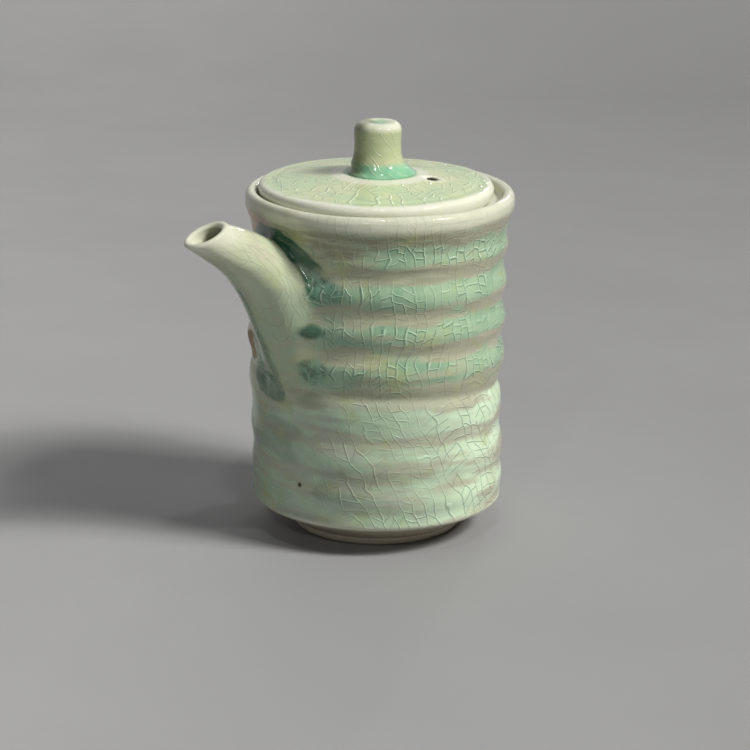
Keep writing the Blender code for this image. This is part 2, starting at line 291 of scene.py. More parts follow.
def tube_distance(points):
    """Distance from the plain tube's outside, less than 0 inside it."""
    flat = points.reshape(-1, 3).copy()
    flat[:, 1] /= spread_at(flat[:, 2], flat[:, 1])
    distances = np.empty(len(flat))
    batch = 4000                 # keeps the table of gaps small
    for start in range(0, len(flat), batch):
        part = flat[start:start + batch]
        gaps = np.linalg.norm(part[:, None, :] - SPOUT_C[None, ::2, :], axis=2) - SPOUT_R[None, ::2]
        distances[start:start + batch] = gaps.min(axis=1)
    return distances.reshape(points.shape[:-1])


def wall_distance(points):
    theta = np.arctan2(points[..., 1], points[..., 0])
    return np.hypot(points[..., 0], points[..., 1]) - body_radius(theta, points[..., 2])


def joined_distance(points):
    """The tube and the wall, blended where they meet."""
    tube, wall = tube_distance(points), wall_distance(points)
    reach = np.interp(points[..., 1], (-2, 7), (SPOUT_FILLET, 0.6 * SPOUT_FILLET))
    h = np.maximum(reach - np.abs(tube - wall), 0) / reach
    return np.minimum(tube, wall) - h * h * reach / 4


def settle(points, rounds=5):
    """Move points onto the blended surface."""
    points = points.copy()
    step = 0.05
    for _ in range(rounds):
        here = joined_distance(points)
        slope = np.stack([
            (joined_distance(points + step * axis) - joined_distance(points - step * axis)) / (2 * step)
            for axis in np.eye(3)
        ], -1)
        size = np.maximum((slope ** 2).sum(-1), 0.3)
        points -= (here / size)[..., None] * slope
    return points


def ruling(radii, phi):
    """Points along the tube at angles phi: (station, angle, xyz)."""
    out = SPOUT_C[:, None] + radii[:, None, None] * (np.cos(phi)[None, :, None] * SPOUT_N[:, None])
    out[..., 1] += radii[:, None] * np.sin(phi)[None] * spread_at(out[..., 2], np.sin(phi)[None])
    return out


def crossing(values, level=0.0):
    """For each column, the first fractional row at which rising values pass the level."""
    passed = values > level
    row = np.argmax(passed, axis=0)
    row = np.maximum(row, 1)
    columns = np.arange(values.shape[1])
    low, high = values[row - 1, columns], values[row, columns]
    return row - 1 + np.clip((level - low) / (high - low), 0, 1)


def between(lines, place):
    """Rows of a (station, angle, xyz) array at fractional stations (n, angle)."""
    i = np.clip(place.astype(int), 0, len(lines) - 2)
    f = (place - i)[..., None]
    columns = np.arange(lines.shape[1])[None]
    return lines[i, columns] * (1 - f) + lines[i + 1, columns] * f


def from_plain_wall(points):
    return np.hypot(points[..., 0], points[..., 1]) - np.interp(points[..., 2], BODY_HEIGHTS, BODY_RADII)


def even_angles(around):
    """Angles round the tube whose rulings meet the wall at nearly even distances."""
    phi = np.linspace(0, 2 * math.pi, 721)
    outer = ruling(SPOUT_R, phi)
    joint = between(outer, crossing(from_plain_wall(outer))[None])[0]
    travel = np.append(0, np.cumsum(np.linalg.norm(np.diff(joint, axis=0), axis=1)))
    share = 0.7 * travel / travel[-1] + 0.3 * phi / phi[-1]
    return np.interp(np.linspace(0, 1, around, endpoint=False), share, phi)


def on_skin(flat, lift):
    """Points on the pot's skin from (distance round, height), lifted off it."""
    angle = flat[..., 0] / WALL_RADIUS
    radius = body_radius(angle, flat[..., 1]) + lift
    return about_axis(angle, radius, flat[..., 1])


def unrolled(points):
    """(distance round, height) of points near the wall."""
    angle = np.arctan2(points[:, 1], points[:, 0]) % (2 * math.pi)
    return np.stack((angle * WALL_RADIUS, points[:, 2]), -1)


def outward(joint):
    """Unit directions away from a closed line on the unrolled wall, smoothed along it."""
    ahead = np.roll(joint, -1, 0) - np.roll(joint, 1, 0)
    for _ in range(12):
        ahead = (np.roll(ahead, 1, 0) + 2 * ahead + np.roll(ahead, -1, 0)) / 4
    out = np.stack((ahead[:, 1], -ahead[:, 0]), -1)
    out /= np.linalg.norm(out, axis=1)[:, None]
    points_in = ((joint - joint.mean(0)) * out).sum() < 0
    return -out if points_in else out


def spout_rings(around=176):
    """Closed rings: over the lip, down the outside, out on the skirt, under it and back up the bore."""
    phi = even_angles(around)
    walls = np.interp(np.arange(len(SPOUT_R)), (0, len(SPOUT_R) - 1), SPOUT_WALL)
    outer = ruling(SPOUT_R, phi)
    bore = ruling(SPOUT_R - walls, phi)
    mouth = crossing((outer - MOUTH_POINT) @ MOUTH_UP, -LIP_RISE)
    root = crossing(from_plain_wall(outer))
    share = np.linspace(0, 1, 96)[:, None] ** 0.9
    side = between(outer, mouth + (root - mouth) * share)

    joint = unrolled(side[-1])
    reach = np.linspace(0, 1, 23)[1:, None, None]
    skirt_flat = joint + reach * SKIRT * outward(joint)
    outside = settle(np.concatenate((side, on_skin(skirt_flat, 0.0))))
    sunk = on_skin(skirt_flat, -0.035 * ramp(0.8, 1.0, reach[..., 0]))
    into_wall = ramp(0.72, 0.9, reach)
    outside[len(side):] = outside[len(side):] * (1 - into_wall) + sunk * into_wall

    bore_top = crossing((bore - MOUTH_POINT) @ MOUTH_UP, -LIP_RISE)
    bore_root = crossing(from_plain_wall(bore), -BURIED)
    inside = between(bore, bore_top + (bore_root - bore_top) * np.linspace(0, 1, 60)[:, None])
    under = np.linspace(0, 1, 12)[:, None, None]
    underside = on_skin(skirt_flat[-1] * (1 - under) + unrolled(inside[-1]) * under, -BURIED)

    half = np.radians(np.linspace(0, 180, 9))[1:-1, None, None]
    middle = (outside[0] + inside[0]) / 2
    arm = (outside[0] - inside[0]) / 2
    lip = middle + arm * np.cos(half) + np.sin(half) * LIP_RISE * MOUTH_UP
    return np.concatenate((lip[::-1], outside, underside, inside[-2::-1]))


# ---- where the glaze differs

def green_bands(theta, z, beside):
    """Strength of the green glaze on the rings: its bands lean, wander and break up a little."""
    wall = on_wall(theta, z)
    lean = 0.9 * np.cos(turned_by(theta, math.radians(-40))) - 0.4
    height = z - lean + 1.2 * noise(wall, 16, 21) + 0.5 * noise(wall, 5, 22)
    height = height + 1.5 * noise(wall * THROWING, 12, 36)
    green = sum(strength * bump(height, middle, half) for middle, half, strength in GREEN_BANDS)
    green = green * np.where(height > 92.4, 0.30 + 0.70 * ramp(20, 44, beside), 1.0)
    pale_foot = 0.22 + 0.24 * ramp(28, 62, beside)
    green = np.maximum(green, pale_foot * ramp(52, 46, height))
    return green + 0.55 * noise(wall * THROWING, 16, 32) + 0.38 * noise(wall * THROWING, 6, 33)


def spout_corner(points, tube, beside, ragged):
    """The pool in the corner above the spout, thick glaze darkened also with painted shade in the crease,
    and the teal that fades out of it: (pool, teal).
    """
    y, z = points[..., 1], points[..., 2]
    off_wall = np.maximum(wall_distance(points), 0)
    outer = np.minimum(7.6 - 0.55 * (z - 98), 7.6) + 3.0 * ramp(-2.0, 3.0, y)
    inner = 0.5 + 0.7 * ramp(97.0, 90.0, z)
    pool = ramp(outer + 0.6, outer - 0.5, tube + ragged)
    pool = pool * ramp(inner, inner + 0.6, tube + 0.2 * ragged)
    seam = 0.6 * ramp(88.0, 91.0, z) * ramp(inner + 1.8, inner + 1.0, tube)
    pool *= np.maximum(ramp(92.5, 95.5, z + ragged), seam)
    pool *= ramp(105.2, 104.2, z + 0.5 * ragged) * ramp(6.0, 4.0, off_wall)
    under = ramp(93.0, 89.5, z + 0.5 * ragged)
    teal = ramp(9.5 + 3.0 * under, 3.5 + 4.0 * under, tube + 1.5 * ragged)
    teal *= ramp(inner, inner + 1.2, tube + 0.4 * ragged)
    teal *= ramp(104, 97, z) * ramp(9, 14, beside) * ramp(82, 86.5, z + 1.2 * ragged)
    return pool, teal


def run_down_spout(points, ragged):
    """A run of thick glaze down the front of the spout's root."""
    x, y, z = np.moveaxis(points, -1, 0)
    middle = y + 0.9 - 0.10 * (z - 66) + 0.9 * noise(points @ TILTED, 7, 37) + 0.5 * ragged
    run = ramp(2.4, 1.3, np.abs(middle)) * ramp(88.0, 85.5, z + 0.8 * middle)
    return run * (x < -41) * ramp(54.5, 56.5, z)


def grey_streaks_low(wall, z, side, ragged):
    """Grey-blue streaks low on the wall, under the spout."""
    strokes = noise((wall * np.array((1.0, 1.0, 3.6))) @ TILTED, 19, 38) + 0.3 * noise(wall @ TILTED, 4, 39)
    strokes = ramp(-0.15, 0.25, strokes)
    return strokes * ramp(54, 48, z + 2 * ragged) * ramp(44, 24, np.abs(side - 4))


def glaze_fields(points):
    """Masks over points of the pot and spout, each from 0 to 1."""
    theta = np.arctan2(points[..., 1], points[..., 0])
    y, z = points[..., 1], points[..., 2]
    wall = on_wall(theta, z)
    side = wall_arc(theta, 180)
    beside = np.abs(side)
    tube = tube_distance(points)
    ragged = 0.8 * noise(points, 3.5, 24)
    spout = ramp(3.0, 0.2, tube + 0.5 * noise(points, 3, 23))
    corner_pool_and_shade, corner_teal = spout_corner(points, tube, beside, ragged)
    spot = ramp(1.25, 0.55, blob(theta, z, *TEAL_SPOT))
    soft_spot = ramp(1.15, 0.7, blob(theta, z, *SOFT_SPOT))
    # the glaze pool under the spout's root, darkened also with painted shade under the spout
    drip_and_shade = ramp(1.04, 0.98, drip_reach(theta, z))
    bare_reach = blob(theta, z, *BARE_SPOT)
    bare = ramp(1.05, 0.97, bare_reach)
    sliver = ramp(0.8, 1.8, y) * ramp(4.2, 2.4, tube) * bump(z, 62, 13)
    bare_halo = np.maximum(ramp(1.6, 1.0, bare_reach) - bare, sliver)
    # a pale band on the spout's upper shoulder: thin glaze, and a painted highlight
    shoulder_pale_and_highlight = 0.8 * spout * ramp(87, 92, z) * ramp(103, 98, z) * ramp(-4.5, -8.0, y)
    rim = ramp(105.0, 109.5, z + 0.7 * noise(wall, 8, 29))
    foot = ramp(11.6, 10.0, z + 0.25 * noise(wall, 5, 30))
    clay = ramp(9.75, 9.45, z + 0.12 * noise(wall, 4, 31))
    return {
        "green": np.clip(green_bands(theta, z, beside) * (1 - spout), 0, 1),
        "spout": spout,
        # the corner pool adds painted shade in the crease above the spout to its thick glaze
        "pool": np.clip(corner_pool_and_shade + 0.75 * spot, 0, 1),
        "teal": np.clip(0.9 * corner_teal + 0.7 * soft_spot + 0.8 * spot, 0, 1),
        "drip_and_shade": np.maximum(drip_and_shade, 0.65 * run_down_spout(points, ragged)),
        "bare": np.clip(bare + clay, 0, 1),
        "peach": ramp(1.35, 0.6, blob(theta, z, *PEACH_BLUSH)),
        "swirl": grey_streaks_low(wall, z, side, ragged),
        "cream": np.clip(rim + foot + bare_halo + shoulder_pale_and_highlight, 0, 1) * (1 - clay),
    }


# ---- meshes

def add_object(name, data):
    obj = bpy.data.objects.new(name, data)
    bpy.context.scene.collection.objects.link(obj)
    return obj


def grid_mesh(name, grid, uv, closed_rows=False, first_pole=None, last_pole=None):
    """A mesh over a (rows, columns, xyz) grid in mm whose columns close; uv is (rows, columns + 1, 2)."""
    rows, columns = grid.shape[:2]
    number = np.arange(rows * columns).reshape(rows, columns)
    if closed_rows:
        number = np.vstack((number, number[:1]))
        uv = np.concatenate((uv, uv[:1]))
    right = np.roll(number, -1, axis=1)
    quads = np.stack((number[:-1], number[1:], right[1:], right[:-1]), -1).reshape(-1, 4)
    corners = np.stack((uv[:-1, :-1], uv[1:, :-1], uv[1:, 1:], uv[:-1, 1:]), 2).reshape(-1, 2)
    points = [grid.reshape(-1, 3)]
    faces = quads.tolist()
    total = rows * columns
    for pole, row, ring in ((first_pole, 0, number[0]), (last_pole, -1, number[-1][::-1])):
        if pole is None:
            continue
        points.append(np.array([pole], float))
        edge = uv[row] if row == 0 else uv[row][::-1]
        after = np.roll(ring, -1)
        faces += np.stack((np.full(columns, total), ring, after), -1).tolist()
        middle = (edge[:-1] + edge[1:]) / 2
        corners = np.vstack((corners, np.stack((middle, edge[:-1], edge[1:]), 1).reshape(-1, 2)))
        total += 1
    mesh = bpy.data.meshes.new(name)
    mesh.from_pydata((np.vstack(points) * MM).tolist(), [], faces)
    layer = mesh.uv_layers.new(name="sheet")
    layer.data.foreach_set("uv", corners.astype(np.float32).ravel())
    mesh.shade_smooth()
    return add_object(name, mesh)


def turned(name, rows, columns, shape, sheet_radius, by_height=False):
    """Turn (radius, height) rows about the vertical; shape bends (theta, r, z) arrays.

    The texture sheet runs round at the sheet radius, and up by height or else along the outline.
    """
    theta = SEAM + np.linspace(0, 2 * math.pi, columns + 1)
    off_axis = rows[(rows[:, 0] > ON_AXIS)]
    r, z = off_axis[:, :1] + 0 * theta[None, :-1], off_axis[:, 1:] + 0 * theta[None, :-1]
    t = theta[None, :-1] + 0 * r
    r, z = shape(t, r, z)
    grid = about_axis(t, r, z)
    length = np.append(0, np.cumsum(np.hypot(*np.diff(off_axis, axis=0).T)))
    high = np.hstack((z, z[:, :1])) if by_height else length[:, None] + 0 * theta[None]
    uv = np.stack(((theta - SEAM)[None] * sheet_radius + 0 * high, high), -1) / SHEET_UNIT
    poles = [(0, 0, z[k].mean()) if rows[k, 0] <= ON_AXIS else None for k in (0, -1)]
    return grid_mesh(name, grid, uv, poles == [None, None], *poles)


def move_to(obj, x, y=0.0):
    obj.data.transform(Matrix.Translation((x * MM, y * MM, 0)))
    return obj


def drill(obj, radius, depth, centre, turn=(0, 0, 0), sides=48):
    """Cut a round hole through a piece and keep its edge sharp."""
    bpy.ops.mesh.primitive_cylinder_add(vertices=sides, radius=radius * MM, depth=depth * MM,
                                        location=[c * MM for c in centre], rotation=turn)
    cutter = bpy.context.object
    boolean = obj.modifiers.new("Hole", "BOOLEAN")
    boolean.object = cutter
    boolean.operation = "DIFFERENCE"
    boolean.solver = "EXACT"
    graph = bpy.context.evaluated_depsgraph_get()
    drilled = bpy.data.meshes.new_from_object(obj.evaluated_get(graph))
    obj.modifiers.clear()
    obj.data = drilled
    bpy.data.objects.remove(cutter)
    drilled.shade_smooth()
    drilled.set_sharp_from_angle(angle=math.radians(60))


def set_fields(obj, fields):
    for name, values in fields.items():
        layer = obj.data.attributes.new(name, "FLOAT", "POINT")
        layer.data.foreach_set("value", np.asarray(values, np.float32).ravel())


def vertices(obj):
    co = np.empty(len(obj.data.vertices) * 3, np.float32)
    obj.data.vertices.foreach_get("co", co)
    return co.reshape(-1, 3).astype(float) / MM


def face_outward(obj):
    """Flip the mesh if its volume comes out negative."""
    mesh = obj.data
    mesh.calc_loop_triangles()
    tri = np.empty(len(mesh.loop_triangles) * 3, np.int32)
    mesh.loop_triangles.foreach_get("vertices", tri)
    a, b, c = vertices(obj)[tri].reshape(-1, 3, 3).transpose(1, 0, 2)
    if np.einsum("ij,ij->i", a, np.cross(b, c)).sum() < 0:
        mesh.flip_normals()
    return obj


def dress(obj, body, node, look):
    """Give a piece its material in its one material slot and its body, and hide the CAD node it stands for.
    """
    obj.data.materials.clear()
    obj.data.materials.append(look)
    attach(obj, body)
    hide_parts(node)
    return obj


def join_rows(*parts):
    """One outline from several, with its ends put exactly on the axis."""
    rows = np.vstack(parts)
    rows[0, 0] = rows[-1, 0] = 0
    return rows


def make_pot():
    inside = even_rows(INSIDE_LINE, 2.4)
    ledge = even_rows(LEDGE_LINE, 0.45)[1:]
    lip = np.vstack((arc((41.2, 110.2), (2.0, 1.7), 175, 95, 8), arc((41.2, 109.3), (2.0, 2.6), 90, 3, 12)))
    heights = np.linspace(*WALL_ENDS, 142)
    wall = np.stack((np.interp(heights, BODY_HEIGHTS, BODY_RADII), heights), -1)
    heel = even_rows(smooth_line(HEEL_LINE, 40), 0.7, 0)
    underside = even_rows(UNDERSIDE_LINE, 0.9, 1)
    outer_from = len(inside) + len(ledge) + len(lip)
    outer_to = outer_from + len(wall) + len(heel)

    def shape(theta, r, z):
        index = np.arange(len(r))[:, None] + 1
        outer = (index >= outer_from) & (index < outer_to)
        fade = np.interp(z, (8.2, 9.6), (0, 1))
        r = r + np.where(outer, relief(theta, z) * fade, 0)
        on_lip = np.interp(z, (104, 110), (0, 1)) * (r > 39.0)
        round_about = on_wall(theta, z) * (1, 1, 0)
        z = z + on_lip * (0.16 * noise(round_about, 19, 41) + 0.05 * noise(round_about, 6, 42) - 0.1)
        r = r + on_lip * 0.12 * noise(round_about, 15, 43)
        inner = ~outer & (z > 14) & (z < 100) & (r > 30)
        return r + np.where(inner, 0.25 * np.cos(2 * math.pi * z / 9.0), 0), z

    rows = join_rows(inside, ledge, lip, wall, heel, underside)
    pot = turned("pot_body_glazed", rows, 336, shape, WALL_RADIUS, by_height=True)
    face_outward(pot)
    drill(pot, POUR_HOLE_RADIUS, 14, POUR_HOLE_CENTRE, (0, math.pi / 2, 0))
    set_fields(pot, pot_fields(vertices(pot)))
    return move_to(pot, POT_AXIS)


def pot_fields(points):
    """The outside's masks, calmed on the pot's inside, where the glaze is plain."""
    fields = glaze_fields(points)
    radius = np.hypot(points[:, 0], points[:, 1])
    theta = np.arctan2(points[:, 1], points[:, 0])
    wall = ramp(3.0, 1.6, body_radius(theta, points[:, 2]) - radius)
    inner = np.where(points[:, 2] > 11.5, 1 - wall, (radius < 39) & (points[:, 2] > 8.8))
    for name in ("green", "pool", "teal", "drip_and_shade", "peach", "spout", "swirl"):
        fields[name] = fields[name] * (1 - inner)
    under = ramp(9.2, 8.6, points[:, 2])
    fields["bare"] = np.clip((fields["bare"] + under) * (1 - inner), 0, 1)
    fields["cream"] = np.clip(fields["cream"] + inner * 0.6, 0, 1)
    return fields


def make_spout():
    rings = spout_rings()
    steps = np.linalg.norm(np.diff(rings, axis=0), axis=2).mean(1)
    along = np.append(0, np.cumsum(steps))
    around = np.linspace(0, SPOUT_SHEET, rings.shape[1] + 1)
    uv = np.stack(np.meshgrid(around, along), -1) / SHEET_UNIT
    spout = grid_mesh("spout_glazed", rings, uv, closed_rows=True)
    face_outward(spout)
    fields = glaze_fields(vertices(spout))
    fields["cream"] = ramp(-9.0, -1.5, (vertices(spout) - MOUTH_POINT) @ MOUTH_UP)
    set_fields(spout, fields)
    return move_to(spout, POT_AXIS)


# ---- the lid and foot

def make_lid_disc():
    top = smooth_line(LID_TOP, 60)
    edge = arc((35.9, 112.0), (1.9, 2.1), 96, -10, 16)
    rows = join_rows(even_rows(np.vstack((top, edge)), 0.5, 1), even_rows(LID_UNDER, 1.0, 1))

    def shape(theta, r, z):
        place = about_axis(theta, r, 0 * r)
        upper = ramp(109.6, 111.5, z)
        dish = 0.14 * noise(place, 13, 51) + 0.05 * noise(place, 5, 52)
        z = z + upper * dish * ramp(11, 15, r)
        z = z - upper * 0.18 * bump(r, 33.2, 1.6)
        z = z + upper * 0.14 * bump(r, 11.6, 1.5)
        vent = np.hypot(place[..., 0] - VENT[0], place[..., 1] - VENT[1])
        z = z + upper * (0.22 * bump(vent, 3.6, 1.6) - 0.30 * ramp(3.0, 1.9, vent))
        return r * (1 + 0.0022 * np.cos(3 * theta + 1.0) * ramp(30, 37, r)), z

    disc = turned("lid_disc_glazed", rows, 288, shape, LID_NET_RADIUS)
    face_outward(disc)
    drill(disc, VENT_RADIUS, 20, (*VENT, 113), sides=40)
    set_fields(disc, lid_fields(vertices(disc)))
    centre = centre_of("lid_disc")
    return move_to(disc, centre.x, centre.y)


def lid_fields(points):
    """Masks over the lid: its cream edge, the knob's collar of glaze, the vent and the clay beneath."""
    x, y, z = points.T
    flat = points * (1, 1, 0)
    r = np.hypot(x, y)
    edge_line = 35.7 + 0.5 * noise(flat, 6, 53)
    from_knob = np.hypot(x - KNOB_ON_LID[0], y - KNOB_ON_LID[1]) + 0.35 * noise(flat, 4, 54)
    from_vent = np.hypot(x - VENT[0], y - VENT[1])
    cream = ramp(-0.9, 0.9, r - edge_line) + 0.9 * bump(from_knob, 13.9, 2.8)
    cream += 0.8 * ramp(5.2, 3.0, from_vent)
    beneath = ramp(109.4, 108.9, z) + (z < 111.5) * (r < 30)
    return {
        "cream": np.clip(cream, 0, 1),
        "teal": ramp(12.5, 11.6, from_knob),
        "bare": np.clip(beneath, 0, 1),
        # painted shade inside the vent
        "hole": ramp(2.7, 2.1, from_vent) * (z < 115.9),
    }


def make_knob():
    cap = arc((5.0, 130.85), (2.6, 2.7), 85, 5, 11)
    outline = np.vstack((KNOB_TOP, cap, smooth_line(KNOB_STEM, 40), KNOB_FOOT))
    rows = join_rows(even_rows(outline, 0.4, 1))

    def shape(theta, r, z):
        place = about_axis(theta, r, z)
        stem = np.interp(z, (118, 121, 131, 133), (0, 1, 1, 0.3))
        r = r + stem * (0.16 * noise(place, 7, 61) + 0.02 * np.cos(2 * math.pi * z / 3.1 + theta))
        lean = 1.2 * np.cos(theta - math.radians(-38)) - 0.6
        r = r + ramp(121, 117.3, z) * (r > 6) * lean
        return r, z + 0.12 * noise(place, 5, 62) * ramp(131, 133, z) * ramp(0, 2, r)

    knob = turned("lid_knob_glazed", rows, 128, shape, KNOB_NET_RADIUS)
    face_outward(knob)
    x, y, z = vertices(knob).T
    r = np.hypot(x, y)
    jitter = noise(vertices(knob), 4, 63)
    collar = ramp(121.6, 119.8, z + 0.6 * jitter)
    dimple = 0.75 * ramp(4.8, 2.6, r + 1.4 * jitter) * (z > 130)
    set_fields(knob, {
        "teal": np.clip(collar + dimple, 0, 1),
        "cream": 0.8 * ramp(130.6, 132.8, z + 0.6 * jitter),
        "bare": (z < 117.0).astype(float),
        # painted shade on the knob's left side, away from the light
        "knob_painted_shade": 0.8 * ramp(0.30, 0.85, np.cos(np.arctan2(y, x) - math.radians(140))),
    })
    centre = centre_of("lid_knob")
    return move_to(knob, centre.x, centre.y)


def turning_marks(theta, r, z):
    """Fine grooves left by the turning tool."""
    place = about_axis(theta, r, z * 4)
    return r + 0.05 * noise(place, 2.2, 71) + 0.04 * np.cos(2 * math.pi * z / 0.9), z


def make_ring(node, outline):
    """A turned ring of bare clay in a node's place, from its closed outline."""
    ring = turned(node + "_clay", even_rows(outline, 0.4, 1)[:-1], 192, turning_marks, RING_SHEET_RADIUS)
    face_outward(ring)
    centre = centre_of(node)
    return move_to(ring, centre.x, centre.y)


# ---- materials

# Offsets, in metres, that keep one noise from lining up with another
APART = {
    "quiver": (0.3, 0.1, 0.7), "bend": (0.9, 0.2, 0.1), "fleck": (0.2, 0.8, 0.5), "mottle": (0.5, 0.5, 0.2),
    "gold": (0.7, 0.1, 0.9), "sun": (0.3, 0.9, 0.4), "blotch": (0.6, 0.3, 0.2), "faint": (0.4, 0.6, 0.3),
    "worn": (0.8, 0.6, 0.1), "gloss": (0.1, 0.4, 0.8), "grain": (0.3, 0.3, 0.3),
}

MINT = (0.335, 0.50, 0.335)
DEEP_MINT = (0.19, 0.36, 0.23)
PALE_GREEN = (0.46, 0.59, 0.39)
BEIGE = (0.42, 0.435, 0.30)
NECK_OLIVE = (0.26, 0.265, 0.155)
LOW_GREEN = (0.74, 0.91, 0.66)
SWIRL = (0.24, 0.31, 0.21)
MILKY = (0.44, 0.47, 0.41)
LOW_BEIGE = (0.50, 0.545, 0.40)
CREAM = (0.71, 0.72, 0.58)
RIM_GOLD = (0.55, 0.50, 0.33)
# painted light on the beige's lit side; also used for pale patches on the spout
SUNLIT_BEIGE = (0.52, 0.49, 0.38)
OLIVE_CREAM = (0.52, 0.56, 0.38)
SPOUT_GREEN = (0.37, 0.46, 0.325)
SPOUT_CREAM = (0.57, 0.60, 0.42)
# dark pooled glaze, also painted shade in the crease above the spout
POOL_AND_CREASE_SHADE = (0.026, 0.100, 0.055)
POOL_LIGHT = (0.06, 0.15, 0.085)
TEAL = (0.12, 0.33, 0.22)
DEEP_TEAL = (0.02, 0.105, 0.055)
# thick run glaze, also painted shade under the spout's root
DRIP_AND_SHADE = (0.16, 0.25, 0.165)
BARE = (0.36, 0.25, 0.115)
PEACH = (0.50, 0.28, 0.11)
YELLOW = (0.46, 0.50, 0.19)
CLAY = (0.27, 0.215, 0.14)
HEEL_CLAY = (0.50, 0.45, 0.33)
FOOT_CLAY = (0.62, 0.55, 0.40)
FOOT_PALE = (0.70, 0.61, 0.46)
FOOT_PAINTED_LIGHT = (0.95, 0.90, 0.70)
CLAY_GRAIN = (0.09, 0.06, 0.04)
RIDGE_BEIGE = (0.56, 0.56, 0.43)
RIDGE_GREEN = (0.60, 0.78, 0.60)
# painted shadow on one side of the wall's cracks, with some stain
CRACK_SHADOW_AND_STAIN = (0.42, 0.52, 0.44)
IRON = (0.045, 0.025, 0.012)
PINHOLE = (0.09, 0.05, 0.03)
LID_GREEN = (0.54, 0.68, 0.41)
LID_DEEP = (0.47, 0.63, 0.40)
LID_YELLOW = (0.74, 0.72, 0.44)
LID_CREAM = (0.79, 0.80, 0.68)
LID_POOL = (0.19, 0.47, 0.28)
LID_MINT = (0.34, 0.62, 0.40)
LID_RIDGE = (0.82, 0.88, 0.68)
# painted shadow on one side of the lid's and knob's cracks, with some stain
LID_CRACK_SHADOW_AND_STAIN = (0.52, 0.60, 0.48)
LID_CLAY = (0.27, 0.22, 0.15)
VENT_SHADE = (0.07, 0.06, 0.04)
KNOB_GREEN = (0.50, 0.56, 0.33)
KNOB_DEEP = (0.42, 0.51, 0.30)
KNOB_YELLOW = (0.58, 0.58, 0.36)
# painted shade for the knob's left side
KNOB_PAINTED_SHADE = (0.24, 0.25, 0.14)
PAPER_BRIGHT = (0.95, 0.95, 0.955)
PAPER_DIM = (0.44, 0.44, 0.443)
PAPER_CLOUD = (0.53, 0.53, 0.54)
FLOOR_SHADE = (0.53, 0.53, 0.53)

# A net of cracks: lanes round the piece, mm between long cracks and between rungs, share of rungs kept
CrackNet = namedtuple("CrackNet", "lanes width rung kept seed")
WALL_ROUND = 2 * math.pi * WALL_RADIUS
UPPER_NET = CrackNet(80, WALL_ROUND / 80, 2.7, 0.66, 0.0)
LOWER_NET = CrackNet(62, WALL_ROUND / 62, 3.8, 0.74, 20.0)
SPOUT_NET = CrackNet(15, SPOUT_SHEET / 15, 4.2, 0.5, 40.0)
LID_NET = CrackNet(38, 2 * math.pi * LID_NET_RADIUS / 38, 3.8, 0.7, 60.0)
KNOB_NET = CrackNet(14, 2 * math.pi * KNOB_NET_RADIUS / 14, 3.8, 0.35, 60.0)
LONG_CRACK_STRETCH = 0.45  # stretches of a long crack to each rung
LONG_CRACK_GAPS = 0.18  # share of its stretches that are missing
FAR = 9.0  # mm, so that a missing crack never shows
CRACK_SHADOW_SHIFT = 0.34  # mm from a crack to the dark line on one side of it: painted shadow, with some stain

# Smooth steps on the wall: (where it starts, where it ends)
LOWER_WALL = (53.0, 51.0)  # heights below which the crackle is wider
NECK = (93.0, 100.0)  # heights at which the olive neck sets in
SUNNY_SIDE = (-12.0, 34.0)  # mm across the pot, toward the lit side, where painted light makes the glaze paler
FEW_CRACKS = (-20.0, -34.0)  # mm across, toward the end where the lower cracks grow few
SPOUT_TOP = (74.0, 102.0)  # heights at which the spout turns cream
CLAY_HEEL = (12.0, 9.0)  # heights at which the bare clay turns pale
LEAN_ACROSS = -0.35  # how far "across" turns toward the camera


class Value:
    """A number in a node tree; arithmetic on it adds the nodes that work it out."""

    def __init__(self, nodes, socket):
        self.nodes = nodes
        self.socket = socket

    def __add__(self, other):
        return self.nodes.math("ADD", self, other)

    def __sub__(self, other):
        return self.nodes.math("SUBTRACT", self, other)

    def __rsub__(self, other):
        return self.nodes.math("SUBTRACT", other, self)

    def __mul__(self, other):
        return self.nodes.math("MULTIPLY", self, other)


